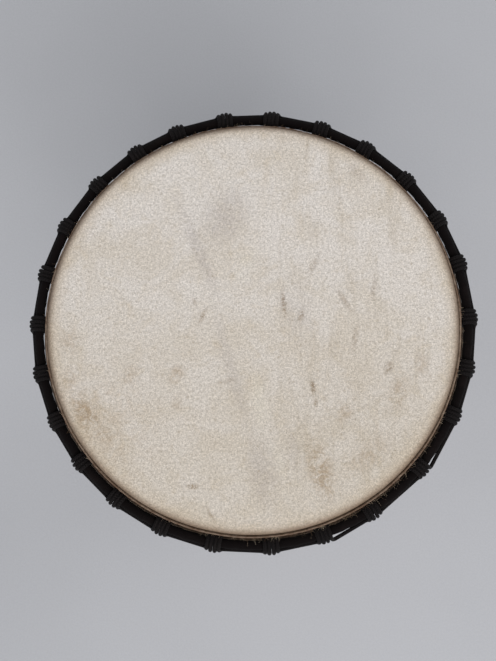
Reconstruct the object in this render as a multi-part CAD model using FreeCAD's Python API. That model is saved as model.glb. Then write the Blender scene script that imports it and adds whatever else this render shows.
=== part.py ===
"""A rope-tuned goblet drum with a goatskin head, as separate closed solids in millimetres.

+Z is up and the origin is the centre of the foot's flat face, on the surface the drum stands on.
A carved wooden shell carries the skin. A flesh ring inside the skin's lap and a cloth-wrapped crown ring
above it draw the skin down over the bearing edge. Rope loops are hitched round the crown ring and round a
second wrapped ring low on the bowl, and one rope runs up and down between the two rows of loops.
"""
import FreeCAD
import Part

import math
import os

from FreeCAD import Vector

# ---- driving dimensions, mm ------------------------------------------------------------------------
HEIGHT = 600.0  # foot to playing surface
SKIN = 0.9  # thickness of the goatskin
RIM_R = 151.5  # outside radius of the wood at the bearing edge
BELLY_Z, BELLY_R = 445.0, 137.0  # where the bowl begins to draw in quickly
NECK_Z, NECK_R = 318.0, 74.0  # the crease under the bowl
FOOT_R = 112.0
N_LOOPS = 26
ROPE = 1.4  # rope radius
ROD_R = 2.5  # radius of the steel rods that the rings are bent from
WRAP_R = 3.6  # radius of a ring with its cloth wrap on
CROWN_R, CROWN_DROP = 160.2, 13.0  # crown ring's centre line, and its depth below the playing surface
FLESH_DROP = 9.8  # how far the flesh ring lies below the crown ring
BASE_RING_Z = 338.0  # height at which the lower ring meets the bowl
LOOP_LENGTH = 27.0  # ring centre to the bend of a loop
GAP = 0.4  # clearance between pieces that lie beside each other

# Hand-tied loops are not evenly spaced: each one's shift round the ring, in degrees.
LOOP_NUDGE = [2, 3, 2, 2, 2, 1.5, 1.5, 0.5, 0, -1.5, -1.5, -1, -1,
              -1, -1.5, -2, -3, -3.5, -3.5, -3, -2, -2, -2, 1, 3.5, 2.5]

# ---- values that follow from them ------------------------------------------------------------------
WOOD_TOP = HEIGHT - SKIN
BOWL_TOP_Z = HEIGHT - 15.0  # the side of the bowl is upright from here to the rim
CROWN_Z = HEIGHT - CROWN_DROP
TURN = WRAP_R + ROPE + 0.05  # radius of a rope turn round a wrapped ring
BITE = 2 * ROPE + 0.3  # rope centre to rope centre where two loops hook through each other
INNER_X, OUTER_X = ROPE + 0.05, 3 * ROPE + 0.15  # where a hitch's two turns lie, each side of its middle
RING_CLEAR = 0.4


# ---- small helpers ---------------------------------------------------------------------------------
def save(name, *solids):
    shape = solids[0] if len(solids) == 1 else Part.makeCompound(list(solids))
    for solid in shape.Solids:
        assert solid.isValid() and solid.Volume > 0, name
    shape.exportStep("parts/" + name + ".step")
    print(name, len(shape.Solids), "solids", round(shape.Volume), "mm3")


def at_angle(degrees, r, z):
    a = math.radians(degrees)
    return Vector(r * math.cos(a), r * math.sin(a), z)


def rounded_edges(points, radii=None, share=0.45):
    """Straight runs through the points, joined by tangent arcs. Each arc is as large as its runs allow,
    or has the radius given for its point."""
    edges, last = [], points[0]
    for i in range(1, len(points) - 1):
        p = points[i]
        back, ahead = points[i - 1] - p, points[i + 1] - p
        shorter = min(back.Length, ahead.Length)
        half = (math.pi - back.getAngle(ahead)) / 2
        cut = share * shorter
        if radii and radii.get(i):
            cut = radii[i] * math.tan(half)
        back.normalize()
        ahead.normalize()
        start, end = p + back * cut, p + ahead * cut
        inward = (back + ahead).normalize()
        radius = cut / math.tan(half)
        middle = p + inward * (radius / math.cos(half) - radius)
        if (start - last).Length > 1e-6:
            edges.append(Part.LineSegment(last, start).toShape())
        edges.append(Part.Arc(start, middle, end).toShape())
        last = end
    edges.append(Part.LineSegment(last, points[-1]).toShape())
    return edges


def tube(edges, radius):
    """A round rope along tangent edges."""
    path = Part.Wire(edges)
    start = edges[0].valueAt(edges[0].FirstParameter)
    along = edges[0].tangentAt(edges[0].FirstParameter)
    section = Part.Wire([Part.Circle(start, along, radius).toShape()])
    solid = path.makePipeShell([section], True, False)
    full = math.pi * radius * radius * path.Length
    assert abs(solid.Volume / full - 1) < 0.01, "a rope's path is too sharp for it"
    return solid


def turned(wire):
    """The solid of revolution of a closed outline in the XZ plane."""
    return Part.Face(wire).revolve(Vector(0, 0, 0), Vector(0, 0, 1), 360)


def ring(radius, z, section):
    return Part.makeTorus(radius, section, Vector(0, 0, z), Vector(0, 0, 1))


def sleeve(radius, z, outer, inner):
    """Cloth wound round a ring: a hollow torus."""
    return ring(radius, z, outer).cut(ring(radius, z, inner)).Solids[0]


# ---- the bowl's outside, as two arcs that meet tangentially -----------------------------------------
def bowl_arcs():
    """(centre r, centre z, radius) of the upper and the lower arc."""
    dr, dz = RIM_R - BELLY_R, BOWL_TOP_Z - BELLY_Z
    upper = (dr * dr + dz * dz) / (2 * dr)
    sine = dz / upper
    cosine = math.sqrt(1 - sine * sine)
    a, b = NECK_R - BELLY_R, NECK_Z - BELLY_Z
    lower = -(a * a + b * b) / (2 * (a * cosine - b * sine))
    return (
        (RIM_R - upper, BOWL_TOP_Z, upper),
        (BELLY_R - lower * cosine, BELLY_Z + lower * sine, lower),
    )


UPPER, LOWER = bowl_arcs()


def bowl(z):
    """Outside radius of the bowl at height z, and its outward normal as (r, z)."""
    if z >= BOWL_TOP_Z:
        return RIM_R, (1.0, 0.0)
    cr, cz, radius = UPPER if z >= BELLY_Z else LOWER
    r = cr + math.sqrt(radius * radius - (z - cz) ** 2)
    return r, ((r - cr) / radius, (z - cz) / radius)


def beside_bowl(z, off):
    """The point a distance off the bowl's surface, measured along its normal, as (r, z)."""
    r, (nr, nz) = bowl(z)
    return r + off * nr, z + off * nz


# ---- shell -------------------------------------------------------------------------------------------
STEM_TOP = NECK_Z - 5.0  # the stem starts under a small step at the crease
STEM_R = NECK_R - 3.5
FOOT_BAND = 24.0  # height of the upright band at the foot
THROAT_R = 43.0
STEM_SAG = 7.0  # how far the flared stem curves in from a straight cone


def stem(z):
    """Outside radius of the stem: a cone between neck and foot band, hollowed by a shallow curve."""
    t = (STEM_TOP - z) / (STEM_TOP - FOOT_BAND)
    return STEM_R + (FOOT_R - 4 - STEM_R) * t - 4 * STEM_SAG * t * (1 - t)


def make_shell():
    def point(r, z):
        return Vector(r, 0, z)

    def line(a, b):
        return Part.LineSegment(point(*a), point(*b)).toShape()

    def arc(a, m, b):
        return Part.Arc(point(*a), point(*m), point(*b)).toShape()

    edge_r = 4.5  # rounding on the outside of the bearing edge
    slope_r = 2.5  # rounding on its inside
    wall = 15.0
    inner_r = RIM_R - wall
    round_mid = (RIM_R - edge_r * (1 - math.sqrt(0.5)), WOOD_TOP - edge_r * (1 - math.sqrt(0.5)))
    crest = (RIM_R - edge_r, WOOD_TOP)
    upper_mid_z, lower_mid_z = (BOWL_TOP_Z + BELLY_Z) / 2, (BELLY_Z + NECK_Z) / 2
    edges = [
        line((inner_r + 6, WOOD_TOP), crest),
        arc(crest, round_mid, (RIM_R, WOOD_TOP - edge_r)),
        line((RIM_R, WOOD_TOP - edge_r), (RIM_R, BOWL_TOP_Z)),
        arc((RIM_R, BOWL_TOP_Z), (bowl(upper_mid_z)[0], upper_mid_z), (BELLY_R, BELLY_Z)),
        arc((BELLY_R, BELLY_Z), (bowl(lower_mid_z)[0], lower_mid_z), (NECK_R, NECK_Z)),
        line((NECK_R, NECK_Z), (STEM_R, STEM_TOP)),
    ]
    stem_mid = (STEM_TOP + FOOT_BAND) / 2
    edges.append(arc((STEM_R, STEM_TOP), (stem(stem_mid), stem_mid), (FOOT_R - 4, FOOT_BAND)))
    edges += [
        line((FOOT_R - 4, FOOT_BAND), (FOOT_R, FOOT_BAND - 3)),
        line((FOOT_R, FOOT_BAND - 3), (FOOT_R, 2)),
        line((FOOT_R, 2), (FOOT_R - 2, 0)),
        line((FOOT_R - 2, 0), (FOOT_R - 18, 0)),
    ]
    # inside: a flared bore up the stem, the throat, then the hollow of the bowl
    bore_foot = FOOT_R - 20
    edges += [
        line((FOOT_R - 18, 0), (bore_foot, 3)),
        arc((bore_foot, 3), (THROAT_R + 17, 150), (THROAT_R, 290)),
        line((THROAT_R, 290), (THROAT_R, NECK_Z + 14)),
        arc((THROAT_R, NECK_Z + 14), (104, 408), (inner_r - 3.5, 500)),
        arc((inner_r - 3.5, 500), (inner_r - 0.6, 545), (inner_r, 592)),
        line((inner_r, 592), (inner_r + 6, WOOD_TOP)),
    ]
    return turned(Part.Wire(edges))


# ---- skin --------------------------------------------------------------------------------------------
LAP_FOLD = math.radians(38)  # how far the trimmed edge of the skin folds out over the crown's rope turns
FLESH_R = RIM_R + SKIN + 0.1 + ROD_R
FLESH_Z = CROWN_Z - FLESH_DROP


def make_skin():
    """The hide: across the head, over the edge, down the side, round the flesh ring and up inside the crown."""
    mid = SKIN / 2
    side = RIM_R + mid
    hug = ROD_R + 0.1 + mid
    lap_r = RIM_R + SKIN + 0.1 + mid
    curve = CROWN_R - lap_r
    tip = 0.3  # the straight end of the fold
    end_r = CROWN_R - curve * math.cos(LAP_FOLD) + tip * math.sin(LAP_FOLD)
    end_z = CROWN_Z + curve * math.sin(LAP_FOLD) + tip * math.cos(LAP_FOLD)
    corners = [
        (0, HEIGHT - mid, 0),
        (side, HEIGHT - mid, 4.5 + mid),
        (side, FLESH_Z - hug, hug),
        (FLESH_R + hug, FLESH_Z - hug, hug),
        (FLESH_R + hug, FLESH_Z + hug, hug),
        (lap_r, FLESH_Z + hug, 1.0),
        (lap_r, CROWN_Z + curve * math.tan(LAP_FOLD / 2), curve),
        (end_r, end_z, 0),
    ]
    points = [Vector(r, 0, z) for r, z, _ in corners]
    radii = {i: c[2] for i, c in enumerate(corners)}
    centre_line = rounded_edges(points, radii)
    across = Vector(0, 1, 0)
    solids = []
    for edge in centre_line:
        first, last = edge.FirstParameter, edge.LastParameter
        sides = []
        for t in (first, (first + last) / 2, last):
            p, tangent = edge.valueAt(t), edge.tangentAt(t)
            n = tangent.cross(across) * mid
            sides.append((p + n, p - n))
        (a0, b0), (am, bm), (a1, b1) = sides
        if isinstance(edge.Curve, Part.Line):
            loop = [Part.LineSegment(a0, a1), Part.LineSegment(a1, b1), Part.LineSegment(b1, b0)]
        else:
            loop = [Part.Arc(a0, am, a1), Part.LineSegment(a1, b1), Part.Arc(b1, bm, b0)]
        loop.append(Part.LineSegment(b0, a0))
        solids.append(turned(Part.Wire([piece.toShape() for piece in loop])))
    return solids[0].multiFuse(solids[1:]).removeSplitter()


# ---- hitches and loops on a ring --------------------------------------------------------------------
class RingFrame:
    """Local axes at one place on a ring: x along the ring, y away from the drum, w towards the loops."""

    def __init__(self, degrees, r, z, out, loops):
        a = math.radians(degrees)
        self.x = Vector(-math.sin(a), math.cos(a), 0)
        radial = Vector(math.cos(a), math.sin(a), 0)
        up = Vector(0, 0, 1)
        self.y = radial * out[0] + up * out[1]
        self.w = radial * loops[0] + up * loops[1]
        self.origin = radial * r + up * z

    def place(self, x, y, w):
        return self.origin + self.x * x + self.y * y + self.w * w


RUN_ANGLE = 25.0  # the straight runs lie this far round from a ring's outside towards the loops
CROWN_LEAN = math.radians(12)  # the upper loops lean in towards the bowl
BASE_N = bowl(BASE_RING_Z)[1]
BASE_R, BASE_Z = beside_bowl(BASE_RING_Z, TURN + ROPE + RING_CLEAR)
BASE_LEAN = math.radians(10)  # and the lower ones lean in too


def loop_angle(i):
    return (i * 360.0 / N_LOOPS + LOOP_NUDGE[i]) if i < N_LOOPS else 360.0 + loop_angle(i - N_LOOPS)


def base_angle(i):
    """A lower loop sits midway between two upper ones."""
    return (loop_angle(i) + loop_angle(i + 1)) / 2


def crown_frame(i):
    out = (math.cos(CROWN_LEAN), -math.sin(CROWN_LEAN))
    return RingFrame(loop_angle(i), CROWN_R, CROWN_Z, out, (out[1], -out[0]))


def base_frame(i):
    tilt = math.atan2(BASE_N[1], BASE_N[0]) + BASE_LEAN
    out = (math.cos(tilt), math.sin(tilt))
    return RingFrame(base_angle(i), BASE_R, BASE_Z, out, (-out[1], out[0]))


LEG_OUT = 4.0  # a loop hangs this far outside its ring's centre line
LEG_TURN = 10.0  # where its legs turn down to hang straight
LEG_X = 2.4
BEND_X = BITE + 0.2  # half the width of a loop at its bend

# One half of a hitch, as (degrees round the ring, distance from its centre, place along it). The angle is
# counted from the ring's outside towards the loops. The rope turns twice round the ring, working in towards
# the hitch's middle, and leaves it on the loops' side.
HALF_HITCH = [
    (RUN_ANGLE, TURN, OUTER_X + 1.4),
    (-15, TURN, OUTER_X + 0.3),
    (-55, TURN, OUTER_X),
    (-100, TURN, OUTER_X),
    (-145, TURN, OUTER_X),
    (-190, TURN, OUTER_X),
    (-235, TURN, OUTER_X),
    (-278, TURN, OUTER_X),
    (-310, TURN + 0.4, OUTER_X - 1.2),
    (-345, TURN + 1.0, INNER_X + 0.5),
    (-385, TURN + 0.9, INNER_X),
    (-433, TURN, INNER_X),
    (-481, TURN, INNER_X),
    (-529, TURN, INNER_X),
    (-577, TURN, INNER_X),
    (-625, TURN, INNER_X),
]


def hitch_corners(frame):
    """Corners of the rope's path through one hitch and its loop, from the run before it to the run after."""
    def corner(degrees, r, x, side):
        a = math.radians(degrees)
        reach = 1.095 * r  # corners stand outside the curve that is drawn between them
        return frame.place(side * x, reach * math.cos(a), reach * math.sin(a))

    down = [corner(*turn, -1) for turn in HALF_HITCH]
    up = [corner(*turn, 1) for turn in reversed(HALF_HITCH)]
    loop = [
        frame.place(side * x, LEG_OUT, w)
        for side, x, w in (
            (-1, LEG_X, LEG_TURN), (-1, BEND_X, LOOP_LENGTH), (1, BEND_X, LOOP_LENGTH), (1, LEG_X, LEG_TURN),
        )
    ]
    return down + loop + up


def make_loops(frames):
    """The whole rope that is hitched round one ring. Its two ends meet in the run after the last hitch."""
    corners = [corner for frame in frames for corner in hitch_corners(frame)]
    middle = (corners[0] + corners[-1]) / 2
    along = (corners[0] - corners[-1]).normalize() * 0.1
    return tube(rounded_edges([middle + along] + corners + [middle - along], share=0.49), ROPE)


# ---- the tuning rope ---------------------------------------------------------------------------------
OFF_BOWL = ROPE + GAP  # rope centre to bowl where the rope lies along it


def meridian(point):
    return math.hypot(point.x, point.y), point.z


def touch_height(point, low, high):
    """Height at which a line from the point just touches the rope's path round the bowl, by bisection."""
    def side(z):
        r, zz = beside_bowl(z, OFF_BOWL)
        nr, nz = bowl(z)[1]
        return (point[0] - r) * nr + (point[1] - zz) * nz

    for _ in range(60):
        middle = (low + high) / 2
        if (side(middle) > 0) == (side(high) > 0):
            high = middle
        else:
            low = middle
    return (low + high) / 2


def tangents_meet(z1, z2):
    """Where the tangents to the rope's path at two heights cross, as (r, z)."""
    (r1, y1), (r2, y2) = beside_bowl(z1, OFF_BOWL), beside_bowl(z2, OFF_BOWL)
    (a1, b1), (a2, b2) = bowl(z1)[1], bowl(z2)[1]
    c1, c2 = a1 * r1 + b1 * y1, a2 * r2 + b2 * y2
    det = a1 * b2 - a2 * b1
    return (c1 * b2 - c2 * b1) / det, (a1 * c2 - a2 * c1) / det


N_TOUCHES = 4


def strand_corners(crown, base, crown_side, base_side):
    """Corners of one leg of the tuning rope, from an upper loop down the bowl to a lower one.
    A side of 1 passes outside the loop's bend and -1 behind it."""
    def hook(frame, side):
        """The rope turns through the loop just inside its bend."""
        bend = LOOP_LENGTH - BITE
        y = LEG_OUT + side * BITE
        return [frame.place(0, y, bend), frame.place(0, y, bend + 3.2 * BITE)]

    top, bottom = hook(crown, crown_side), hook(base, base_side)
    start, end = meridian(top[1]), meridian(bottom[1])
    first = touch_height(start, BELLY_Z - 60, BOWL_TOP_Z - 20)
    last = touch_height(end, end[1] - 2, first)
    heights = [first + (last - first) * k / (N_TOUCHES - 1) for k in range(N_TOUCHES)]
    corners = [tangents_meet(a, b) for a, b in zip(heights, heights[1:])]
    a0 = math.degrees(math.atan2(top[1].y, top[1].x))
    a1 = math.degrees(math.atan2(bottom[1].y, bottom[1].x))
    turn = (a1 - a0 + 180) % 360 - 180
    middle = [at_angle(a0 + turn * (start[1] - z) / (start[1] - end[1]), r, z) for r, z in corners]
    return top + middle + bottom[::-1]


def make_tuning_rope():
    """One rope, down and up all the way round. Its ends meet in the first upper loop."""
    corners = []
    for i in range(N_LOOPS):
        corners += strand_corners(crown_frame(i), base_frame(i), 1, -1)
        corners += strand_corners(crown_frame(i + 1), base_frame(i), -1, 1)[::-1]
    middle = (corners[0] + corners[-1]) / 2
    along = (corners[0] - corners[-1]).normalize() * 0.1
    return tube(rounded_edges([middle + along] + corners + [middle - along], share=0.49), ROPE)


# ---- the spare rope, wound round the neck -----------------------------------------------------------
TAIL_TURNS = 5
CORNERS_PER_TURN = 10
KNOT_CORNERS = 24
KNOT_ANGLE = 256.0
TURN_SHARE = 0.975  # a turn's corners stand outside the turn
TAIL_TOP = STEM_TOP - ROPE - 0.6  # height of the first turn, just under the crease
TAIL_PITCH = 2 * ROPE + 0.15
KNOT_REACH = (3.1, 2.7, 2.1)  # the knot's size along the turns, upright, and away from the drum


def make_tail():
    """The rest of the tuning rope, in close turns under the crease of the neck."""
    corners = []
    for k in range(TAIL_TURNS * CORNERS_PER_TURN + 1):
        turns = k / CORNERS_PER_TURN
        z = TAIL_TOP - turns * TAIL_PITCH
        corners.append(at_angle(KNOT_ANGLE + 360 * turns, (stem(z) + ROPE + GAP) / TURN_SHARE, z))
    return tube(rounded_edges(corners, share=0.49), ROPE)


def make_knot():
    """The knot that ties the spare rope's two ends together, outside the turns: an overhand knot's path."""
    z0 = TAIL_TOP - TAIL_TURNS * TAIL_PITCH / 2
    radial, along, up = at_angle(KNOT_ANGLE, 1, 0), at_angle(KNOT_ANGLE + 90, 1, 0), Vector(0, 0, 1)
    centre = at_angle(KNOT_ANGLE, stem(z0) + GAP + 5 * ROPE, z0)
    wide, high, deep = KNOT_REACH
    corners = []
    for k in range(KNOT_CORNERS):
        t = 2 * math.pi * (k + 0.5) / KNOT_CORNERS
        u = math.sin(t) + 2 * math.sin(2 * t)
        v = math.cos(t) - 2 * math.cos(2 * t)
        corners.append(centre + along * (wide * u) + up * (high * v) - radial * (deep * math.sin(3 * t)))
    return tube(rounded_edges(corners, share=0.49), ROPE)


# ---- write every piece -------------------------------------------------------------------------------
def main():
    os.makedirs("parts", exist_ok=True)
    save("shell", make_shell())
    save("head_skin", make_skin())
    save("flesh_ring", ring(FLESH_R, FLESH_Z, ROD_R))
    save("crown_ring", ring(CROWN_R, CROWN_Z, ROD_R))
    save("crown_ring_wrap", sleeve(CROWN_R, CROWN_Z, WRAP_R, ROD_R))
    save("crown_loops", make_loops([crown_frame(i) for i in range(N_LOOPS)]))
    save("base_ring", ring(BASE_R, BASE_Z, ROD_R))
    save("base_ring_wrap", sleeve(BASE_R, BASE_Z, WRAP_R, ROD_R))
    save("base_loops", make_loops([base_frame(i) for i in range(N_LOOPS)]))
    save("tuning_rope", make_tuning_rope())
    save("rope_tail", make_tail())
    save("tail_knot", make_knot())


main()
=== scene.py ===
"""The looks of the rope-tuned goblet drum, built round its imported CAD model.

Lengths in this script are millimetres in the CAD model's frame, and MM turns them into metres as a mesh is
made. The rope, the cloth wraps and the skin replace their plain CAD solids. The shell and the steel rings keep
their CAD meshes.
"""

import math

import bmesh
import bpy
import numpy as np
from mathutils import Matrix, Vector


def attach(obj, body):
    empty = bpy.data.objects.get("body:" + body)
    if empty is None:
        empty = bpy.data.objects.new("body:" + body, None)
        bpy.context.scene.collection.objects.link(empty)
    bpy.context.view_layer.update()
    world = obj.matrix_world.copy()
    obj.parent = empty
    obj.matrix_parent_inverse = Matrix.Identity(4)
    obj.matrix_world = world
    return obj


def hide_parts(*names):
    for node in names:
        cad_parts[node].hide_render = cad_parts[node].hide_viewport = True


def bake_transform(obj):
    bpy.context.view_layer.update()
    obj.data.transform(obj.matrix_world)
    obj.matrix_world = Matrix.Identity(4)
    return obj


MM = 0.001
TAU = 2 * math.pi
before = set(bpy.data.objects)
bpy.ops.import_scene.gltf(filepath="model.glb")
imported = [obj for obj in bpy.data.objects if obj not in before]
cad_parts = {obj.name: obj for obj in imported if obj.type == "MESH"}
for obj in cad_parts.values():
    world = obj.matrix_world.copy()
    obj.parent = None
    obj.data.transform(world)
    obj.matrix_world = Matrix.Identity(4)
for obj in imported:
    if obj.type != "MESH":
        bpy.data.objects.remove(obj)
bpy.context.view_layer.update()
rng = np.random.default_rng(26)

# ---- the drum's dimensions, as in its CAD source ------------------------------------------------------
HEIGHT, SKIN = 600.0, 0.9
RIM_R = 151.5
BELLY_Z, BELLY_R = 445.0, 137.0
NECK_Z, NECK_R = 318.0, 74.0
FOOT_R, FOOT_BAND, FOOT_STEP, STEM_SAG = 112.0, 24.0, 4.0, 7.0
N_LOOPS = 26
ROPE, ROD_R, WRAP_R = 1.4, 2.5, 3.6
CROWN_R, CROWN_DROP, FLESH_DROP = 160.2, 13.0, 9.8
BASE_RING_Z = 338.0
LOOP_LENGTH = 27.0
GAP, RING_CLEAR = 0.4, 0.4
# gaps: the skin round its ring, rope on what it is tied to, and rope through a loop of rope
SNUG, TOUCH, LINK = 0.1, 0.05, 0.3
TIGHT = 0.05  # added to the radius of the loops' rope, so that its turns touch
LOOP_NUDGE = [2, 3, 2, 2, 2, 1.5, 1.5, 0.5, 0, -1.5, -1.5, -1, -1,
              -1, -1.5, -2, -3, -3.5, -3.5, -3, -2, -2, -2, 1, 3.5, 2.5]

BOWL_TOP_Z = HEIGHT - 15.0
CROWN_Z = HEIGHT - CROWN_DROP
FLESH_R, FLESH_Z = RIM_R + SKIN + SNUG + ROD_R, CROWN_Z - FLESH_DROP
TURN = WRAP_R + ROPE + TOUCH
BITE = 2 * ROPE + LINK
INNER_X, OUTER_X = ROPE + TOUCH, 3 * (ROPE + TOUCH)
LEG_OUT, LEG_TURN, LEG_X, BEND_X = 4.0, 10.0, 2.4, BITE + 0.2
STEM_TOP, STEM_R = NECK_Z - 5.0, NECK_R - 3.5


# ---- meshes ----------------------------------------------------------------------------------------------
def in_scene(name, data):
    """A new object of this name and data, put in the scene."""
    obj = bpy.data.objects.new(name, data)
    bpy.context.scene.collection.objects.link(obj)
    return obj


def grid(name, points, u, v, closed_u=False, capped=False):
    """A smooth quad mesh over points[u, v], closed along v. u and v are the texture coordinates of its lines;
    a closed direction has one more of them than it has points."""
    nu, nv = points.shape[:2]
    i = np.arange(nu if closed_u else nu - 1)[:, None]
    j = np.arange(nv)[None, :]
    i2, j2 = (i + 1) % nu, (j + 1) % nv
    quads = np.stack([i * nv + j, i2 * nv + j, i2 * nv + j2, i * nv + j2], -1).reshape(-1, 4)
    one = np.ones_like(i * j)
    corners = [(i, j), (i + 1, j), (i + 1, j + 1), (i, j + 1)]
    uv = np.stack([np.stack([u[a * one], v[b * one]], -1) for a, b in corners], 2).reshape(-1, 2)
    faces = quads.tolist()
    if capped:
        faces += [list(range(nv)), list(range(nu * nv - 1, (nu - 1) * nv - 1, -1))]
        caps = [(u[0], v[k]) for k in range(nv)] + [(u[-1], v[k]) for k in range(nv - 1, -1, -1)]
        uv = np.concatenate([uv, np.array(caps)])
    mesh = bpy.data.meshes.new(name)
    mesh.from_pydata((points.reshape(-1, 3) * MM).tolist(), [], faces)
    mesh.uv_layers.new(name="lay").data.foreach_set("uv", uv.astype(np.float32).ravel())
    mesh.shade_smooth()
    return in_scene(name, mesh)


def unit(v):
    return v / np.linalg.norm(v)


ARC_SHARE = 0.49  # how much of the shorter run beside a corner its arc takes
LEAST_TURN, LEAST_RUN = 1e-3, 0.02  # a smaller turn needs no arc, and a shorter run no points


def rounded(corners, radii=None, step=math.radians(15), run=5.0):
    """Points along straight runs between the corners, joined by tangent arcs. radii gives the radius at a
    corner's index; step is the angle and run the length between two points."""
    corners = [np.asarray(c, float) for c in corners]
    path = [corners[0]]

    def run_to(p):
        n = max(1, math.ceil(np.linalg.norm(p - path[-1]) / run))
        path.extend([path[-1] + (p - path[-1]) * k / n for k in range(1, n + 1)])

    for k in range(1, len(corners) - 1):
        p = corners[k]
        back, ahead = corners[k - 1] - p, corners[k + 1] - p
        cut = ARC_SHARE * min(np.linalg.norm(back), np.linalg.norm(ahead))
        back, ahead = unit(back), unit(ahead)
        half = (math.pi - math.acos(np.clip(back @ ahead, -1, 1))) / 2
        if half < LEAST_TURN:
            continue
        if radii and radii.get(k):
            cut = radii[k] * math.tan(half)
        radius = cut / math.tan(half)
        centre = p + unit(back + ahead) * radius / math.cos(half)
        start = p + back * cut
        if np.linalg.norm(start - path[-1]) > LEAST_RUN:
            run_to(start)
        n = max(2, math.ceil(2 * half / step))
        for t in np.linspace(0, 2 * half, n + 1)[1:]:
            path.append(centre + (start - centre) * math.cos(t) - back * radius * math.sin(t))
    run_to(corners[-1])
    return np.array(path)


ROPE_SIDES = 12
END_GAP = 0.1  # half the gap between the two ends of a rope that goes all the way round
SKEW = (0.3, 0.2, 0.93)  # a direction that no rope starts along


def tube(name, path, radius):
    """A round rope along a path. Its texture runs in mm along it and once round it."""
    ahead = np.gradient(path, axis=0)
    ahead /= np.linalg.norm(ahead, axis=1)[:, None]
    across = np.empty_like(path)
    side = unit(np.cross(ahead[0], SKEW))
    for k, t in enumerate(ahead):
        side = unit(side - t * (side @ t))
        across[k] = side
    other = np.cross(ahead, across)
    s = np.concatenate([[0], np.cumsum(np.linalg.norm(np.diff(path, axis=0), axis=1))])
    a = np.arange(ROPE_SIDES) * TAU / ROPE_SIDES
    ring = across[:, None] * np.cos(a)[None, :, None] + other[:, None] * np.sin(a)[None, :, None]
    points = path[:, None] + ring * radius
    return grid(name, points, s, np.arange(ROPE_SIDES + 1) / ROPE_SIDES, capped=True), s[-1]


def closed_route(corners):
    """The corners, with the two ends meeting in the run between the last corner and the first."""
    middle = (corners[0] + corners[-1]) / 2
    along = unit(corners[0] - corners[-1]) * END_GAP
    return [middle + along] + corners + [middle - along]


def at_angle(degrees, r, z):
    a = math.radians(degrees)
    return np.array([r * math.cos(a), r * math.sin(a), z])


def smooth_noise(n, waves, seed):
    """n values round a circle, about -1 to 1, that change over 1/waves of the circle."""
    r = np.random.default_rng(seed)
    t = np.arange(n) / n * TAU
    total = sum(np.sin(k * t + r.uniform(0, TAU)) * r.normal() for k in range(max(1, waves // 3), waves + 1))
    return total / np.abs(total).max()


# ---- materials -------------------------------------------------------------------------------------------
def tone(r, g, b):
    """An 8-bit display colour as the linear colour that shaders take."""
    return tuple(((c / 255 + 0.055) / 1.055) ** 2.4 if c > 10 else c / 255 / 12.92 for c in (r, g, b)) + (1.0,)


class Surface:
    """A node material, put together step by step. Every step returns the socket that holds its result."""

    def __init__(self, name, **fixed):
        self.material = bpy.data.materials.new(name)
        self.material.use_nodes = True
        self.nodes, self.links = self.material.node_tree.nodes, self.material.node_tree.links
        self.shader = self.nodes["Principled BSDF"]
        for socket, value in fixed.items():
            self.shader.inputs[socket.replace("_", " ")].default_value = value
        self.place = self.node("ShaderNodeTexCoord").outputs["Object"]

    def node(self, kind, **settings):
        node = self.nodes.new(kind)
        for key, value in settings.items():
            setattr(node, key, value)
        return node

    def put(self, socket, value):
        if isinstance(value, bpy.types.NodeSocket):
            self.links.new(value, socket)
        else:
            socket.default_value = value

    def math(self, operation, *values, clamp=False):
        node = self.node("ShaderNodeMath", operation=operation, use_clamp=clamp)
        for socket, value in zip(node.inputs, values):
            self.put(socket, value)
        return node.outputs[0]

    def vector(self, operation, a, b=(0, 0, 0), out="Vector"):
        node = self.node("ShaderNodeVectorMath", operation=operation)
        self.put(node.inputs[0], a)
        self.put(node.inputs[1], b)
        return node.outputs[out]

    def split(self, vector):
        node = self.node("ShaderNodeSeparateXYZ")
        self.put(node.inputs[0], vector)
        return node.outputs

    def join(self, x, y, z):
        node = self.node("ShaderNodeCombineXYZ")
        for socket, value in zip(node.inputs, (x, y, z)):
            self.put(socket, value)
        return node.outputs[0]

    def noise(self, vector, scale, detail=3.0, rough=0.55, warp=0.0):
        node = self.node("ShaderNodeTexNoise")
        self.put(node.inputs["Vector"], vector)
        settings = {"Scale": scale, "Detail": detail, "Roughness": rough, "Distortion": warp}
        for socket, value in settings.items():
            self.put(node.inputs[socket], value)
        return node.outputs["Fac"]

    def cells(self, vector):
        """The distance to the nearest of a field of cell middles, about one unit apart."""
        node = self.node("ShaderNodeTexVoronoi")
        self.put(node.inputs["Vector"], vector)
        self.put(node.inputs["Scale"], 1.0)
        return node.outputs["Distance"]

    def step(self, value, low, high, to_low=0.0, to_high=1.0):
        """A smooth step: to_low below low, to_high above high."""
        node = self.node("ShaderNodeMapRange", interpolation_type="SMOOTHSTEP")
        for socket, v in zip(node.inputs, (value, low, high, to_low, to_high)):
            self.put(socket, v)
        return node.outputs[0]

    def mix(self, share, a, b, blend="MIX"):
        node = self.node("ShaderNodeMix", data_type="RGBA", blend_type=blend)
        self.put(node.inputs[0], share)
        self.put(node.inputs[6], a)
        self.put(node.inputs[7], b)
        return node.outputs[2]

    def scaled(self, colour, amount):
        """The colour times (amount, amount, amount)."""
        return self.mix(1.0, colour, self.join(amount, amount, amount), "MULTIPLY")

    def bump(self, *heights):
        """Each height is (socket, depth in mm)."""
        normal = None
        for height, depth in heights:
            node = self.node("ShaderNodeBump")
            self.put(node.inputs["Strength"], 1.0)
            self.put(node.inputs["Distance"], depth * MM)
            self.put(node.inputs["Height"], height)
            if normal:
                self.put(node.inputs["Normal"], normal)
            normal = node.outputs[0]
        self.put(self.shader.inputs["Normal"], normal)

    def finish(self, colour, rough=None):
        self.put(self.shader.inputs["Base Color"], colour)
        if rough is not None:
            self.put(self.shader.inputs["Roughness"], rough)
        return self.material


def in_mm(s):
    """The position in mm."""
    return s.vector("MULTIPLY", s.place, (1000, 1000, 1000))


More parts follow.
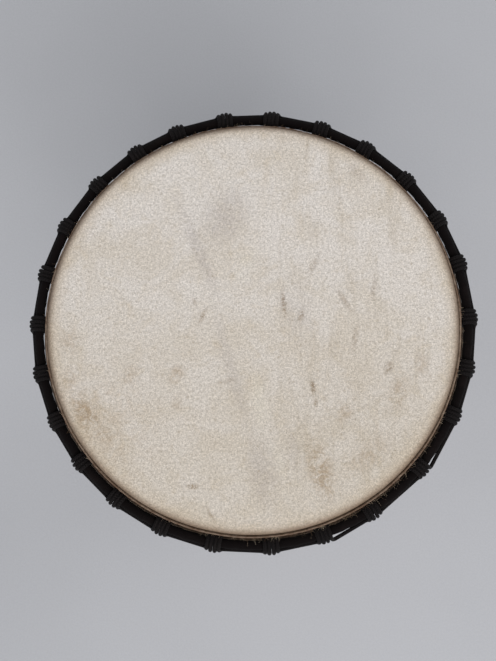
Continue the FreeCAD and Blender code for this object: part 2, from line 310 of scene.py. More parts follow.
def from_axis(s, mm):
    """The distance from the drum's axis in mm."""
    return s.vector("LENGTH", s.vector("MULTIPLY", mm, (1, 1, 0)), out="Value")


# Marks on the head, as (x, y, length, width, slope in degrees, strength).
SMALL_MARKS = [
    (-36, 6, 8, 2.0, 62, 0.7), (-42, 17, 5, 1.6, 110, 0.5), (24, 15, 12, 2.2, 95, 0.75),
    (37, 6, 6, 2.8, 80, 0.65), (46, 44, 12, 2.8, 60, 0.45), (68, 18, 12, 2.6, 120, 0.5),
    (90, 26, 10, 2.4, 80, 0.45), (76, -11, 13, 2.6, 80, 0.5), (45, -47, 7, 2.4, 100, 0.9),
    (47, -58, 4, 2.0, 90, 0.7), (-42, -118, 6, 2.6, 5, 0.9), (-29, -138, 8, 2.2, 120, 0.6),
    (100, -33, 7, 4.0, 70, 0.65), (79, 114, 12, 5.0, 130, 0.35), (-18, -42, 10, 3.0, 20, 0.3),
]
BROWN_MARKS = [
    (-121, -66, 22, 10, 115, 0.8), (-134, -40, 9, 6, 90, 0.55), (-134, -11, 12, 8, 90, 0.4),
    (-88, -37, 9, 7, 60, 0.4), (-55, -37, 9, 6, 70, 0.55), (-54, -57, 7, 5, 90, 0.4),
    (-106, -82, 10, 7, 120, 0.5), (68, -66, 10, 7, 60, 0.45), (107, -50, 16, 9, 70, 0.5),
    (50, -107, 26, 11, 105, 0.75), (84, -96, 22, 10, 40, 0.4), (124, -30, 10, 6, 90, 0.35),
]
GREY_MARKS = [
    (-40, 58, 46, 6, 113, 0.45), (-13, -38, 52, 6, 106, 0.4), (8, -108, 30, 13, 100, 0.6),
    (-20, 81, 28, 20, 60, 0.45), (30, -92, 20, 6, 100, 0.35), (34, 10, 30, 14, 95, 0.25),
]
PALE_MARKS = [(6, -56, 24, 7, 100, 0.6), (-4, 45, 18, 8, 70, 0.3), (20, -100, 16, 4, 110, 0.4)]


def goatskin():
    s = Surface("goatskin", Roughness=0.62, Specular_IOR_Level=0.35)
    mm = in_mm(s)
    r = from_axis(s, mm)
    x, y, z = s.split(mm)
    broad = s.noise(mm, 0.03, 4, 0.6, 0.6)
    patch = s.noise(s.vector("ADD", mm, (310, 45, 0)), 0.075, 5, 0.62, 0.8)
    peel = s.noise(mm, 0.48, 3, 0.65, 0.3)
    fine = s.noise(mm, 0.95, 3, 0.7)
    streak = s.noise(s.vector("MULTIPLY", mm, (0.11, 0.016, 1)), 1.0, 4, 0.6, 0.4)
    colour = s.mix(s.step(broad, 0.38, 0.66), tone(212, 204, 196), tone(205, 195, 183))
    colour = s.mix(s.step(patch, 0.52, 0.74, 0, 0.25), colour, tone(186, 168, 140))
    cloudy = s.math("MULTIPLY", s.step(streak, 0.5, 0.72), s.step(x, -10, 45))
    colour = s.mix(s.math("MULTIPLY", cloudy, 0.3), colour, tone(170, 156, 136))
    # broad stains: brown at the lower left edge, grey towards the lower right
    left = s.vector("DISTANCE", mm, (-112, -78, HEIGHT), out="Value")
    right = s.vector("DISTANCE", mm, (70, -88, HEIGHT), out="Value")
    blotch = s.noise(mm, 0.12, 4, 0.65, 1.0)
    stained = s.math("MULTIPLY", s.step(left, 10, 62, 0.35, 0), s.step(blotch, 0.35, 0.7))
    colour = s.mix(stained, colour, tone(172, 148, 120))
    grey = s.math("MULTIPLY", s.step(right, 15, 95, 0.3, 0), s.step(blotch, 0.3, 0.75))
    colour = s.mix(grey, colour, tone(166, 151, 130))
    ragged, torn = s.noise(mm, 0.5, 4, 0.7, 1.5), s.noise(mm, 0.16, 5, 0.7, 1.2)
    for marks, mark_tone, cover in (
        (PALE_MARKS, tone(216, 208, 194), s.step(torn, 0.25, 0.6)),
        (GREY_MARKS, tone(176, 167, 162), s.step(torn, 0.25, 0.6)),
        (BROWN_MARKS, tone(150, 124, 94), s.step(torn, 0.34, 0.64)),
        (SMALL_MARKS, tone(112, 86, 54), s.step(ragged, 0.36, 0.62)),
    ):
        for mx, my, length, width, slope, strength in marks:
            a = math.radians(slope)
            away = s.vector("SUBTRACT", mm, (mx, my, HEIGHT))
            along = s.vector("DOT_PRODUCT", away, (math.cos(a) / length, math.sin(a) / length, 0), out="Value")
            across = s.vector("DOT_PRODUCT", away, (-math.sin(a) / width, math.cos(a) / width, 0), out="Value")
            far = s.vector("LENGTH", s.join(along, across, 0), out="Value")
            colour = s.mix(s.math("MULTIPLY", s.step(far, 0.25, 1.2, strength, 0), cover), colour, mark_tone)
    # painted shade: the head darker and warmer towards -y, standing in for the light falling off across it
    colour = s.mix(s.step(y, -140, 100, 0.28, 0), colour, tone(192, 176, 150))
    colour = s.scaled(colour, s.step(y, -150, 120, 0.93, 1.0))
    # the worn, yellowed skin near the bearing edge, and brown where it bends over it and down the side. The
    # darkening towards the rim is partly the skin's own stain and partly painted shade, where the skin turns
    # away from the light over the edge.
    wobble = s.math("MULTIPLY", s.math("SUBTRACT", s.noise(mm, 0.05, 4, 0.6), 0.5), 6.0)
    rim_band_shift = s.step(s.vector("DOT_PRODUCT", mm, (-0.8, 0.6, 0), out="Value"), 60, 150, 0, 2.0)
    edge = s.math("ADD", s.math("ADD", r, wobble), rim_band_shift)
    colour = s.mix(s.step(edge, 138, 151, 0, 0.45), colour, tone(180, 160, 132))
    # painted shade with the skin's stain: brown where the skin bends over the bearing edge
    bend = s.math("ADD", r, s.math("MULTIPLY", s.math("ADD", wobble, rim_band_shift), 0.3))
    colour = s.mix(s.step(bend, 145.6, 153.4, 0, 0.9), colour, tone(112, 88, 68))
    side_tone = s.mix(s.step(blotch, 0.35, 0.65), tone(128, 104, 80), tone(92, 70, 54))
    colour = s.mix(s.step(z, 590, 597, 0.85, 0), colour, side_tone)
    colour = s.mix(s.step(peel, 0.56, 0.74, 0, 0.42), colour, tone(166, 147, 118))
    colour = s.scaled(colour, s.step(peel, 0.30, 0.64, 1.10, 0.87))
    colour = s.scaled(colour, s.step(fine, 0.32, 0.68, 0.76, 1.20))
    s.bump((broad, 0.5), (patch, 0.25), (peel, -0.22), (fine, 0.16))
    return s.finish(colour, s.step(fine, 0.3, 0.7, 0.55, 0.7))


def lap_skin():
    s = Surface("skin_lap", Roughness=0.75, Specular_IOR_Level=0.3)
    mm = in_mm(s)
    r = from_axis(s, mm)
    z = s.split(mm)[2]
    blotch = s.noise(mm, 0.15, 5, 0.65, 0.8)
    fine = s.noise(mm, 1.2, 4, 0.7)
    colour = s.mix(s.step(blotch, 0.35, 0.65), tone(164, 146, 128), tone(120, 98, 80))
    # painted shade: the lap dark low down, in the gap between the drum and the crown ring
    colour = s.mix(s.step(z, 586.5, 589.0, 0.9, 0), colour, tone(66, 44, 34))
    # painted shade: the lap darker towards its outer edge, where it overhangs the crown ring's wrap
    colour = s.mix(s.step(r, 153.9, 154.8, 0, 0.7), colour, tone(92, 62, 46))
    colour = s.scaled(colour, s.step(fine, 0.25, 0.75, 0.78, 1.12))
    s.bump((fine, 0.25), (blotch, 0.4))
    return s.finish(colour)


def hair():
    s = Surface("hair", Roughness=0.5)
    colour = s.mix(s.step(s.noise(s.place, 160.0), 0.4, 0.6), tone(190, 172, 148), tone(112, 86, 62))
    return s.finish(colour)


BRAID_PITCH, BRAID_STRANDS = 6.4, 4.0  # the rope's braid: mm for one turn, and strands each way


def black_rope():
    """Braided cord. The texture's u is mm along the rope and its v goes once round it."""
    s = Surface("black_rope", Roughness=0.75, Specular_IOR_Level=0.1)
    s.shader.inputs["Sheen Weight"].default_value = 0.03
    s.shader.inputs["Sheen Roughness"].default_value = 0.45
    lay = s.node("ShaderNodeUVMap", uv_map="lay").outputs[0]
    u, v = s.split(lay)[:2]
    round_it = s.math("MULTIPLY", v, BRAID_STRANDS)
    along = s.math("MULTIPLY", s.math("MULTIPLY", u, 1 / BRAID_PITCH), BRAID_STRANDS)
    left, right = (
        s.math("SINE", s.math("MULTIPLY", s.math(way, along, round_it), TAU)) for way in ("ADD", "SUBTRACT")
    )
    braid = s.math("MAXIMUM", left, right)
    mm = in_mm(s)
    fuzz = s.noise(mm, 2.4, 3, 0.7)
    dust = s.noise(mm, 0.06, 4, 0.6)
    colour = s.mix(s.step(braid, -0.2, 0.95), tone(5, 3, 3), tone(19, 14, 14))
    colour = s.mix(s.step(fuzz, 0.45, 0.8, 0, 0.5), colour, tone(29, 23, 23))
    colour = s.mix(s.step(dust, 0.5, 0.8, 0, 0.22), colour, tone(42, 36, 33))
    s.bump((braid, 0.16), (fuzz, 0.08))
    return s.finish(colour, s.step(fuzz, 0.3, 0.7, 0.5, 0.72))


WARP_THREADS, WEFT_THREADS = 14, 30  # across the strip, and once round the ring's section


def black_cloth():
    """Cotton strip wound round a ring. u counts its turns and v goes once round the section."""
    s = Surface("black_cloth", Roughness=0.9, Specular_IOR_Level=0.06)
    s.shader.inputs["Sheen Weight"].default_value = 0.02
    lay = s.node("ShaderNodeUVMap", uv_map="lay").outputs[0]
    u, v = s.split(lay)[:2]
    warp = s.math("SINE", s.math("MULTIPLY", u, TAU * WARP_THREADS))
    weft = s.math("SINE", s.math("MULTIPLY", v, TAU * WEFT_THREADS))
    weave = s.math("MULTIPLY", warp, weft)
    mm = in_mm(s)
    fuzz = s.noise(mm, 1.6, 4, 0.7)
    dust = s.noise(mm, 0.05, 4, 0.6)
    colour = s.mix(s.step(weave, -0.8, 0.8), tone(6, 4, 4), tone(18, 13, 13))
    colour = s.mix(s.step(fuzz, 0.45, 0.8, 0, 0.45), colour, tone(30, 23, 22))
    colour = s.mix(s.step(dust, 0.5, 0.8, 0, 0.3), colour, tone(40, 31, 29))
    s.bump((weave, 0.08), (fuzz, 0.12))
    return s.finish(colour)


RING_WIDTH = 9.0  # of the log's growth rings


def carved_wood():
    s = Surface("carved_wood", Roughness=0.45, Specular_IOR_Level=0.45)
    s.shader.inputs["Coat Weight"].default_value = 0.15
    s.shader.inputs["Coat Roughness"].default_value = 0.35
    mm = in_mm(s)
    z = s.split(mm)[2]
    # the log's rings, a little off the drum's axis and wandering along it
    wander = s.vector("MULTIPLY", mm, (0.006, 0.006, 0.0018))
    bend = s.math("MULTIPLY", s.noise(wander, 1.0, 3, 0.5), 90.0)
    heart = s.vector("MULTIPLY", s.vector("ADD", mm, (64, 31, 0)), (1, 1, 0))
    off_axis = s.vector("LENGTH", heart, out="Value")
    rings = s.math("SINE", s.math("MULTIPLY", s.math("ADD", off_axis, bend), TAU / RING_WIDTH))
    fibre = s.noise(s.vector("MULTIPLY", mm, (0.55, 0.55, 0.022)), 1.0, 5, 0.65)
    vessel = s.noise(s.vector("MULTIPLY", mm, (1.6, 1.6, 0.05)), 1.0, 3, 0.6)
    cloud = s.noise(mm, 0.011, 3, 0.5)
    chisel = s.cells(s.vector("MULTIPLY", mm, (0.075, 0.075, 0.038)))
    colour = s.mix(s.step(rings, -0.9, 0.9), tone(112, 62, 34), tone(142, 84, 48))
    colour = s.mix(s.step(fibre, 0.35, 0.68), colour, tone(84, 44, 24))
    colour = s.mix(s.step(cloud, 0.35, 0.7, 0, 0.45), colour, tone(88, 48, 28))
    colour = s.mix(s.step(vessel, 0.6, 0.72, 0, 0.6), colour, tone(44, 22, 12))
    colour = s.mix(s.step(z, 0, 9, 0.5, 0), colour, tone(52, 34, 24))
    # the inside, where the normal points towards the axis, is bare wood
    normal = s.node("ShaderNodeNewGeometry").outputs["Normal"]
    outward = s.vector("DOT_PRODUCT", normal, s.vector("MULTIPLY", mm, (1, 1, 0)), out="Value")
    colour = s.mix(s.step(outward, -8, 4, 0.55, 0), colour, tone(172, 128, 86))
    s.bump((chisel, 0.9), (fibre, 0.16), (vessel, -0.12))
    return s.finish(colour, s.step(fibre, 0.3, 0.7, 0.38, 0.6))


def steel_rod():
    s = Surface("steel_rod", Metallic=1.0)
    mm = in_mm(s)
    scratch = s.noise(s.vector("MULTIPLY", mm, (0.2, 0.2, 3.0)), 1.0, 4, 0.7)
    rust = s.noise(mm, 0.1, 5, 0.7)
    colour = s.mix(s.step(scratch, 0.35, 0.65), tone(150, 150, 152), tone(176, 176, 178))
    colour = s.mix(s.step(rust, 0.55, 0.72, 0, 0.6), colour, tone(110, 72, 48))
    s.bump((scratch, 0.02))
    return s.finish(colour, s.step(rust, 0.5, 0.75, 0.34, 0.7))


def pale_floor():
    s = Surface("pale_floor", Roughness=0.9, Specular_IOR_Level=0.2)
    cloud = s.noise(s.place, 1.6, 3, 0.5)
    fine = s.noise(s.place, 420.0, 3, 0.6)
    colour = s.mix(s.step(cloud, 0.35, 0.65), tone(181, 181, 184), tone(188, 188, 191))
    colour = s.scaled(colour, s.step(fine, 0.3, 0.7, 0.97, 1.02))
    s.bump((fine, 0.2))
    return s.finish(colour)


# ---- the bowl's outside, as in the CAD source ----------------------------------------------------------
def bowl_arcs():
    """The two arcs (r, z, radius) of the bowl's outline, above and below the belly, tangent to each other."""
    dr, dz = RIM_R - BELLY_R, BOWL_TOP_Z - BELLY_Z
    upper = (dr * dr + dz * dz) / (2 * dr)
    sine = dz / upper
    cosine = math.sqrt(1 - sine * sine)
    a, b = NECK_R - BELLY_R, NECK_Z - BELLY_Z
    lower = -(a * a + b * b) / (2 * (a * cosine - b * sine))
    return (RIM_R - upper, BOWL_TOP_Z, upper), (BELLY_R - lower * cosine, BELLY_Z + lower * sine, lower)


UPPER, LOWER = bowl_arcs()


def bowl(z):
    """The bowl's radius at a height, and the direction (r, z) that its surface faces there."""
    if z >= BOWL_TOP_Z:
        return RIM_R, (1.0, 0.0)
    cr, cz, radius = UPPER if z >= BELLY_Z else LOWER
    r = cr + math.sqrt(radius * radius - (z - cz) ** 2)
    return r, ((r - cr) / radius, (z - cz) / radius)


def beside_bowl(z, off):
    """The point (r, z) that lies off mm outside the bowl's surface at a height."""
    r, (nr, nz) = bowl(z)
    return r + off * nr, z + off * nz


def stem(z):
    """The stem's radius at a height."""
    t = (STEM_TOP - z) / (STEM_TOP - FOOT_BAND)
    return STEM_R + (FOOT_R - FOOT_STEP - STEM_R) * t - 4 * STEM_SAG * t * (1 - t)


# ---- hitches, loops and the tuning rope, on the CAD model's routes ------------------------------------
class RingFrame:
    """Local axes at one place on a ring: x along the ring, y away from the drum, w towards the loops."""

    def __init__(self, degrees, r, z, out, loops):
        a = math.radians(degrees)
        radial, up = np.array([math.cos(a), math.sin(a), 0]), np.array([0, 0, 1.0])
        self.x = np.array([-math.sin(a), math.cos(a), 0])
        self.y = radial * out[0] + up * out[1]
        self.w = radial * loops[0] + up * loops[1]
        self.origin = radial * r + up * z

    def place(self, x, y, w):
        return self.origin + self.x * x + self.y * y + self.w * w


RUN_ANGLE = 25.0
CROWN_LEAN, BASE_LEAN = math.radians(12), math.radians(10)
BASE_N = bowl(BASE_RING_Z)[1]
BASE_R, BASE_Z = beside_bowl(BASE_RING_Z, TURN + ROPE + RING_CLEAR)


def loop_angle(i):
    return (i * 360.0 / N_LOOPS + LOOP_NUDGE[i]) if i < N_LOOPS else 360.0 + loop_angle(i - N_LOOPS)


def base_angle(i):
    return (loop_angle(i) + loop_angle(i + 1)) / 2


def crown_frame(i):
    out = (math.cos(CROWN_LEAN), -math.sin(CROWN_LEAN))
    return RingFrame(loop_angle(i), CROWN_R, CROWN_Z, out, (out[1], -out[0]))


def base_frame(i):
    tilt = math.atan2(BASE_N[1], BASE_N[0]) + BASE_LEAN
    out = (math.cos(tilt), math.sin(tilt))
    return RingFrame(base_angle(i), BASE_R, BASE_Z, out, (-out[1], out[0]))


HALF_HITCH = [
    (RUN_ANGLE, TURN, OUTER_X + 1.4), (-15, TURN, OUTER_X + 0.3), (-55, TURN, OUTER_X), (-100, TURN, OUTER_X),
    (-145, TURN, OUTER_X), (-190, TURN, OUTER_X), (-235, TURN, OUTER_X), (-278, TURN, OUTER_X),
    (-310, TURN + 0.4, OUTER_X - 1.2), (-345, TURN + 1.0, INNER_X + 0.5), (-385, TURN + 0.9, INNER_X),
    (-433, TURN, INNER_X),
    (-481, TURN, INNER_X), (-529, TURN, INNER_X), (-577, TURN, INNER_X), (-625, TURN, INNER_X),
]


OVER = 1.095  # with this a hitch's corners, about 48 degrees apart, have the turn's radius between them


def hitch_corners(ring_frame, uneven):
    """Corners of the rope's path through one hitch and its loop, with a hand's unevenness in mm."""
    lean = rng.normal(0, 0.05)

    def corner(degrees, r, x, side):
        a = math.radians(degrees)
        reach = OVER * r + abs(rng.normal(0, uneven))
        across = side * x + lean * reach * math.sin(a) + rng.normal(0, uneven / 2)
        return ring_frame.place(across, reach * math.cos(a), reach * math.sin(a))

    down = [corner(*turn, -1) for turn in HALF_HITCH]
    up = [corner(*turn, 1) for turn in reversed(HALF_HITCH)]
    loop = [
        ring_frame.place(side * x, LEG_OUT, w)
        for side, x, w in (
            (-1, LEG_X, LEG_TURN), (-1, BEND_X, LOOP_LENGTH), (1, BEND_X, LOOP_LENGTH), (1, LEG_X, LEG_TURN),
        )
    ]
    return down + loop + up


# Runs that stand off the crown ring where they leave a hitch: the hitch, and how far out in mm.
LOOSE_RUNS = {21: 2.4, 23: 2.3}


def loops_rope(name, frames, loose, uneven):
    """The whole rope hitched round one ring. Its two ends meet in the run after the last hitch."""
    hitches = [hitch_corners(f, uneven) for f in frames]
    corners = []
    for i, hitch in enumerate(hitches):
        corners += hitch
        if i in loose:
            corners[-1] = hitch[-1] + frames[i].y * loose[i]
    return tube(name, rounded(closed_route(corners)), ROPE + TIGHT)


OFF_BOWL = ROPE + GAP
N_TOUCHES = 4  # heights at which a strand touches the bowl
HOOK_RUN = 3.2 * BITE  # from the loop that a strand hooks through to the strand's first free corner


def meridian(p):
    """A point as (r, z)."""
    return math.hypot(p[0], p[1]), p[2]


def touch_height(point, low, high):
    """The height at which a straight strand from the point (r, z) touches the bowl, by halving."""
    def side(z):
        r, zz = beside_bowl(z, OFF_BOWL)
        nr, nz = bowl(z)[1]
        return (point[0] - r) * nr + (point[1] - zz) * nz

    for _ in range(60):
        middle = (low + high) / 2
        if (side(middle) > 0) == (side(high) > 0):
            high = middle
        else:
            low = middle
    return (low + high) / 2


def tangents_meet(z1, z2):
    """Where the bowl's tangents at two heights cross, OFF_BOWL from its surface."""
    (r1, y1), (r2, y2) = beside_bowl(z1, OFF_BOWL), beside_bowl(z2, OFF_BOWL)
    (a1, b1), (a2, b2) = bowl(z1)[1], bowl(z2)[1]
    c1, c2 = a1 * r1 + b1 * y1, a2 * r2 + b2 * y2
    det = a1 * b2 - a2 * b1
    return (c1 * b2 - c2 * b1) / det, (a1 * c2 - a2 * c1) / det


def strand_corners(crown, base, crown_side, base_side):
    def hook(ring_frame, side):
        bend = LOOP_LENGTH - BITE
        y = LEG_OUT + side * BITE
        return [ring_frame.place(0, y, bend), ring_frame.place(0, y, bend + HOOK_RUN)]

    top, bottom = hook(crown, crown_side), hook(base, base_side)
    start, end = meridian(top[1]), meridian(bottom[1])
    first = touch_height(start, BELLY_Z - 60, BOWL_TOP_Z - 20)
    last = touch_height(end, end[1] - 2, first)
    heights = [first + (last - first) * k / (N_TOUCHES - 1) for k in range(N_TOUCHES)]
    corners = [tangents_meet(a, b) for a, b in zip(heights, heights[1:])]
    a0 = math.degrees(math.atan2(top[1][1], top[1][0]))
    a1 = math.degrees(math.atan2(bottom[1][1], bottom[1][0]))
    turn = (a1 - a0 + 180) % 360 - 180
    middle = [at_angle(a0 + turn * (start[1] - z) / (start[1] - end[1]), r, z) for r, z in corners]
    return top + middle + bottom[::-1]


def tuning_rope():
    corners = []
    for i in range(N_LOOPS):
        corners += strand_corners(crown_frame(i), base_frame(i), 1, -1)
        corners += strand_corners(crown_frame(i + 1), base_frame(i), -1, 1)[::-1]
    return tube("tuning_rope_braid", rounded(closed_route(corners)), ROPE)


KNOT_ANGLE, TAIL_TURNS, TAIL_PITCH, TURN_POINTS = 256.0, 5, 2 * ROPE + 0.15, 48
TAIL_TOP = STEM_TOP - ROPE - 0.6
KNOT_REACH = (3.1, 2.7, 2.1)  # along the turns, up and out from the drum
KNOT_OUT = 4 * ROPE + 1.4


def rope_tail():
    """The spare rope, wound round the top of the stem."""
    turns = np.linspace(0, TAIL_TURNS, TAIL_TURNS * TURN_POINTS + 1)
    z = TAIL_TOP - turns * TAIL_PITCH
    path = np.array([at_angle(KNOT_ANGLE + 360 * t, stem(h) + ROPE + GAP, h) for t, h in zip(turns, z)])
    return tube("rope_tail_braid", path, ROPE)


def tail_knot():
    """An overhand knot over the middle of those turns: a trefoil with its ends left open."""
    z0 = TAIL_TOP - TAIL_TURNS * TAIL_PITCH / 2
    centre = at_angle(KNOT_ANGLE, stem(z0) + GAP + KNOT_OUT, z0)
    radial, along, up = at_angle(KNOT_ANGLE, 1, 0), at_angle(KNOT_ANGLE + 90, 1, 0), np.array([0, 0, 1.0])
    path = []
    for t in np.linspace(0.02, 0.98, 160) * TAU:
        u, v = math.sin(t) + 2 * math.sin(2 * t), math.cos(t) - 2 * math.cos(2 * t)
        path.append(centre + along * KNOT_REACH[0] * u + up * KNOT_REACH[1] * v
                    - radial * KNOT_REACH[2] * math.sin(3 * t))
    return tube("tail_knot_braid", np.array(path), ROPE)


# ---- cloth wound round the rings -------------------------------------------------------------------------
STRIP_POINTS, SECTION_POINTS = 14, 24  # across one turn of the strip, and round the ring's section
STRIP_SLANT, STRIP_LAP = 0.9, 0.86  # turns that its edge runs on in one turn round; where it laps, in turns


def wound_ring(name, r, z, turns, seed):
    """A cloth strip wound on at a slant, each turn lapping over the one before."""
    nu, nv = turns * STRIP_POINTS, SECTION_POINTS
    theta = np.arange(nu)[:, None] * TAU / nu
    phi = np.arange(nv)[None, :] * TAU / nv
    along = theta / TAU * turns + STRIP_SLANT * phi / TAU
    uneven = smooth_noise(nu, 90, seed)[:, None]
    lap = (along + 0.16 * uneven) % 1.0
    step = np.where(lap < STRIP_LAP, lap / STRIP_LAP, (1 - lap) / (1 - STRIP_LAP))
    loose = smooth_noise(nu, 40, seed + 1)[:, None] * smooth_noise(nv, 4, seed + 2)[None, :]
    section = WRAP_R - 0.32 + 0.4 * step + 0.1 * loose
    out = r + section * np.cos(phi)
    points = np.stack([out * np.cos(theta), out * np.sin(theta), z + section * np.sin(phi)], -1)
    u = np.arange(nu + 1) / nu * turns
    return grid(name, points, u, np.arange(nv + 1) / nv, closed_u=True)


# ---- skin ------------------------------------------------------------------------------------------------
HUG = ROD_R + SNUG + SKIN / 2
LAP_BASE_Z = FLESH_Z + HUG + 1.5
LAP_R = RIM_R + SKIN + SNUG + SKIN / 2
LAP_FOLD = math.radians(38)
EDGE_R = 4.5  # the bearing edge's radius
SKIN_POINTS = 520  # round the drum
LAP_ROWS, LAP_POINTS = 15, 48  # up the lap, and round the drum from one loop to the next
CREST = 0.3  # how far the trimmed edge stands past the lap's last row


def revolved(name, profile, segments):
    """profile is a closed outline of (r, z). Points on the axis become one."""
    theta = np.arange(segments) * TAU / segments
    p = np.array(profile)
    points = np.stack([
        p[None, :, 0] * np.cos(theta)[:, None],
        p[None, :, 0] * np.sin(theta)[:, None],
        np.broadcast_to(p[:, 1], (segments, len(p))),
    ], -1)
    obj = grid(name, points, np.arange(segments + 1) / segments, np.arange(len(p) + 1.0), closed_u=True)
    bm = bmesh.new()
    bm.from_mesh(obj.data)
    bmesh.ops.remove_doubles(bm, verts=[v for v in bm.verts if math.hypot(v.co.x, v.co.y) < 1e-5], dist=1e-5)
    bm.to_mesh(obj.data)
    bm.free()
    return obj


def head_skin():
    """Across the head, over the edge, down the side and round the flesh ring."""
    mid = SKIN / 2
    side = RIM_R + mid
    # each corner is (r, z, radius of the bend)
    corners = [(0, HEIGHT - mid, 0), (side, HEIGHT - mid, EDGE_R + mid), (side, FLESH_Z - HUG, HUG),
               (FLESH_R + HUG, FLESH_Z - HUG, HUG), (FLESH_R + HUG, FLESH_Z + HUG, HUG),
               (side + SKIN + 0.2, FLESH_Z + HUG, 0)]
    path = rounded([(r, 0, z) for r, z, _ in corners], {k: c[2] for k, c in enumerate(corners)},
                   step=math.radians(7.5), run=6.0)[:, [0, 2]]
    ahead = np.gradient(path, axis=0)
    ahead /= np.linalg.norm(ahead, axis=1)[:, None]
    normal = np.stack([-ahead[:, 1], ahead[:, 0]], -1) * mid
    normal[0] = (0, mid)
    outline = np.concatenate([path + normal, (path - normal)[::-1]])
    return revolved("head_skin_hide", outline[::-1], SKIN_POINTS)


def lap():
    """The trimmed edge of the skin. It stands up between the crown ring and the drum and folds out over the
    rope turns. The angles, radii and heights of its top come with it, for the hairs."""
    n, rows = N_LOOPS * LAP_POINTS, LAP_ROWS
    theta = np.arange(n) * TAU / n
    upright, curve = CROWN_Z - LAP_BASE_Z, CROWN_R - LAP_R
    length = upright + curve * LAP_FOLD + 0.45 * smooth_noise(n, 34, 4) + 0.3 * smooth_noise(n, 260, 5)
    s = length[:, None] * np.linspace(0, 1, rows)[None, :]
    fold = np.maximum(0, s - upright) / curve
    r = CROWN_R - curve * np.cos(fold)
    z = LAP_BASE_Z + np.minimum(s, upright) + curve * np.sin(fold)
    half = (SKIN / 2) * (1 + 0.12 * smooth_noise(n, 150, 6))[:, None] * np.ones((1, rows))
    dr, dz = half * np.cos(fold), half * np.sin(fold)
    outer = np.stack([r + dr, z - dz], -1)
    inner = np.stack([r - dr, z + dz], -1)[:, ::-1]
    end = fold[:, -1:]
    crest = np.stack([r[:, -1:] + CREST * np.sin(end), z[:, -1:] + CREST * np.cos(end)], -1)
    profile = np.concatenate([outer, crest, inner], 1)
    points = np.stack([
        profile[..., 0] * np.cos(theta)[:, None], profile[..., 0] * np.sin(theta)[:, None], profile[..., 1],
    ], -1)
    rows_round = np.arange(profile.shape[1] + 1.0)
    edge = grid("skin_lap_edge", points[::-1], np.arange(n + 1) / n, rows_round, closed_u=True)
    return edge, theta, r[:, -1], z[:, -1]


N_HAIRS, HAIR_SIDES = 560, 4
HAIRY_ANGLE, HAIRY_WIDTH = math.radians(292), 0.75  # where most of the hairs are, in radians round the drum


def fibres(theta, top_r, top_z):
    """Hairs left on the trimmed edge, most of them at the front right."""
    strands = []
    away = (theta - HAIRY_ANGLE + math.pi) % TAU - math.pi
    density = 0.25 + np.exp(-(away / HAIRY_WIDTH) ** 2)
    for k in rng.choice(len(theta), N_HAIRS, p=density / density.sum()):
        a = theta[k] + rng.normal(0, 0.001)
        length = rng.uniform(0.8, 3.4) * (1 + 0.5 * (density[k] > 0.9))
        root = np.array([top_r[k] * math.cos(a), top_r[k] * math.sin(a), top_z[k] - 0.3])
        radial, tangent = np.array([math.cos(a), math.sin(a), 0]), np.array([-math.sin(a), math.cos(a), 0])
        way = unit(radial * rng.normal(0.35, 0.45) + tangent * rng.normal(0, 0.7) + np.array([0, 0, 0.75]))
        droop = radial * rng.normal(0.25, 0.25) + tangent * rng.normal(0, 0.3) - np.array([0, 0, 0.25])
        s = np.linspace(0, 1, 5)[:, None]
        strands.append((root + way * length * s + droop * length * s ** 2, rng.uniform(0.045, 0.1)))
    points, faces = [], []
    for path, radius in strands:
        ahead = unit(path[-1] - path[0])
        side = unit(np.cross(ahead, (0.31, 0.17, 0.94)))
        other = np.cross(ahead, side)
        base = len(points)
        for k, p in enumerate(path):
            w = radius * (1 - 0.75 * k / (len(path) - 1))
            for q in range(HAIR_SIDES):
                c = q * TAU / HAIR_SIDES
                points.append((p + side * w * math.cos(c) + other * w * math.sin(c)) * MM)
        for k in range(len(path) - 1):
            for q in range(HAIR_SIDES):
                q2 = (q + 1) % HAIR_SIDES
                b = base + k * HAIR_SIDES
                faces.append((b + q, b + q2, b + HAIR_SIDES + q2, b + HAIR_SIDES + q))
        last = base + (len(path) - 1) * HAIR_SIDES
        faces.append(tuple(base + q for q in range(HAIR_SIDES - 1, -1, -1)))
        faces.append(tuple(last + q for q in range(HAIR_SIDES)))
    mesh = bpy.data.meshes.new("lap_hairs")
    mesh.from_pydata([tuple(p) for p in points], [], faces)
    mesh.shade_smooth()
    return in_scene("lap_hairs", mesh)


# ---- build ---------------------------------------------------------------------------------------------
def dress(obj, material, body=None, stands_for=()):
    """Give a piece its material, and the body that it rides on or the nodes that it replaces."""
    obj.data.materials.append(material)
    if body:
        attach(obj, body)
    if stands_for:
        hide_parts(*stands_for)
    return obj


rope, cloth = black_rope(), black_cloth()
wood, steel = carved_wood(), steel_rod()
for node, material in (("shell", wood), ("flesh_ring", steel), ("crown_ring", steel), ("base_ring", steel)):
    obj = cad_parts[node]
    obj.data.materials.clear()
    obj.data.materials.append(material)

crown_frames, base_frames = [crown_frame(i) for i in range(N_LOOPS)], [base_frame(i) for i in range(N_LOOPS)]
crown_rope, crown_length = loops_rope("crown_loops_braid", crown_frames, LOOSE_RUNS, 0.12)
dress(crown_rope, rope, "crown", ["crown_loops"])
base_rope, base_length = loops_rope("base_loops_braid", base_frames, {}, 0.1)
dress(base_rope, rope, "drum", ["base_loops"])
tail, tail_length = rope_tail()
dress(tail, rope, "drum", ["rope_tail"])
knot, knot_length = tail_knot()
dress(knot, rope, "drum", ["tail_knot"])
tuning, tuning_length = tuning_rope()
dress(tuning, rope, stands_for=["tuning_rope"])
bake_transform(tuning)

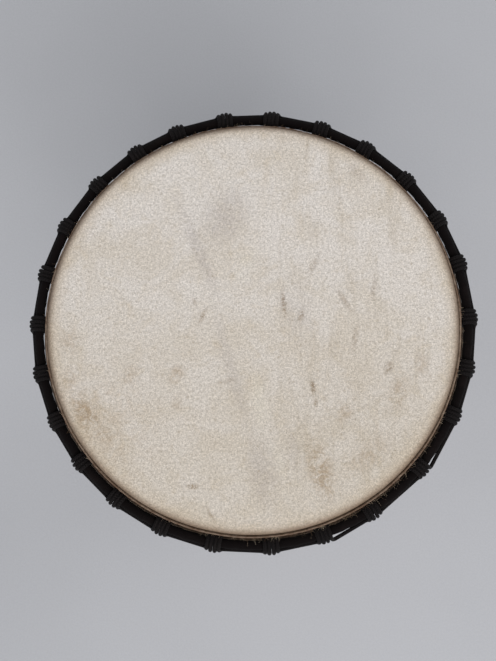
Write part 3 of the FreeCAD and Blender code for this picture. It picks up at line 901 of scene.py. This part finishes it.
crown_wrap = wound_ring("crown_wrap_cloth", CROWN_R, CROWN_Z, turns=88, seed=11)
dress(crown_wrap, cloth, "crown", ["crown_ring_wrap"])
base_wrap = wound_ring("base_wrap_cloth", BASE_R, BASE_Z, turns=54, seed=21)
dress(base_wrap, cloth, "drum", ["base_ring_wrap"])

hide = dress(head_skin(), goatskin(), stands_for=["head_skin"])
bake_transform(hide)
edge, theta, top_r, top_z = lap()
dress(edge, lap_skin(), "crown")
hairs = dress(fibres(theta, top_r, top_z), hair(), "crown")
rope_lengths = {"crown loops": crown_length, "base loops": base_length, "tuning rope": tuning_length,
                "tail": tail_length, "tail's knot": knot_length}
for name, length in rope_lengths.items():
    print(name, round(length), "mm of rope")

# ---- studio ----------------------------------------------------------------------------------------------
bpy.ops.mesh.primitive_plane_add(size=8.0, location=(0, 0, 0))
floor = bpy.context.object
floor.name = "floor"
floor.data.materials.append(pale_floor())

world = bpy.data.worlds.new("studio")
world.use_nodes = True
world.node_tree.nodes["Background"].inputs["Color"].default_value = (0.93, 0.96, 1.0, 1.0)
world.node_tree.nodes["Background"].inputs["Strength"].default_value = 0.55
bpy.context.scene.world = world


def softbox(name, place, target, size, watts):
    """A round area light at a place, aimed at a target; both in metres."""
    light = bpy.data.lights.new(name, "AREA")
    light.shape, light.size, light.energy = "DISK", size, watts
    obj = in_scene(name, light)
    obj.location = place
    obj.rotation_euler = (Vector(target) - Vector(place)).to_track_quat("-Z", "Y").to_euler()


softbox("key", place=(0.35, -1.6, 2.7), target=(0, 0, 0.5), size=2.2, watts=49)
softbox("fill", place=(1.9, 1.4, 2.0), target=(0, 0, 0.4), size=2.0, watts=12)

camera_data = bpy.data.cameras.new("camera")
camera_data.lens, camera_data.sensor_width = 56.1, 36.0
camera = in_scene("camera", camera_data)
EYE, AIM = Vector((0.030, -0.112, 1.348)), Vector((-0.0023, -0.0046, 0.6))
ahead = (AIM - EYE).normalized()
right = ahead.cross((0, 1, 0)).normalized()
facing = Matrix((right, right.cross(ahead), -ahead)).transposed()
camera.matrix_world = Matrix.Translation(EYE) @ facing.to_4x4()
bpy.context.scene.camera = camera
bpy.context.scene.view_settings.view_transform = "Standard"
